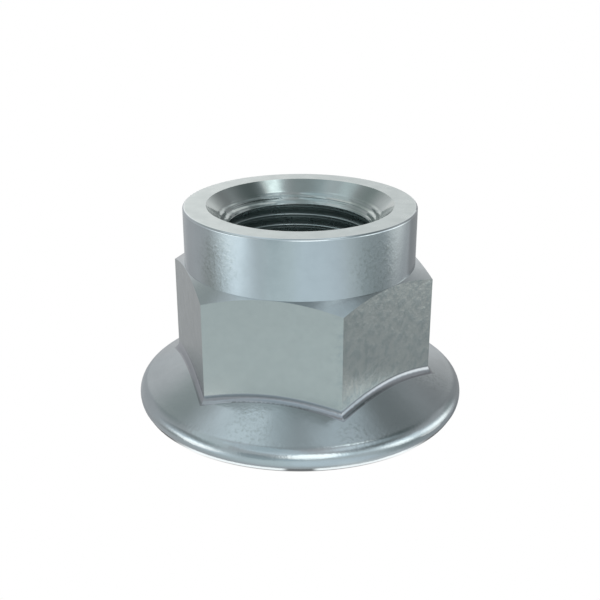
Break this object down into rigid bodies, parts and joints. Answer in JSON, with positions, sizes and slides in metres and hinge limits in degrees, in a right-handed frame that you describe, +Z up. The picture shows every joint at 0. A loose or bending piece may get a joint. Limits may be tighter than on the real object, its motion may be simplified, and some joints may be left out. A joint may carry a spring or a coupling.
{
  "type": "hexagon flange lock nut",
  "caption": "Solid hexagon lock nut with a wide conical flange and a tall round collar; its fine internal thread clamps a bolted joint without a separate washer.",
  "frame": {"origin": "centre of the bearing face under the flange, on the thread axis", "axes": "+Z up the thread axis from the bearing face to the top of the collar, +X through a corner of the hexagon, +Y square to a flat of the hexagon"},
  "size_m": [0.0432, 0.0432, 0.0265],
  "materials": {
    "zinc_plated_steel": "satin, blue-white passivated zinc plating"
  },
  "bodies": {
    "root": {"lock_nut": "zinc_plated_steel"}
  },
  "joints": []
}
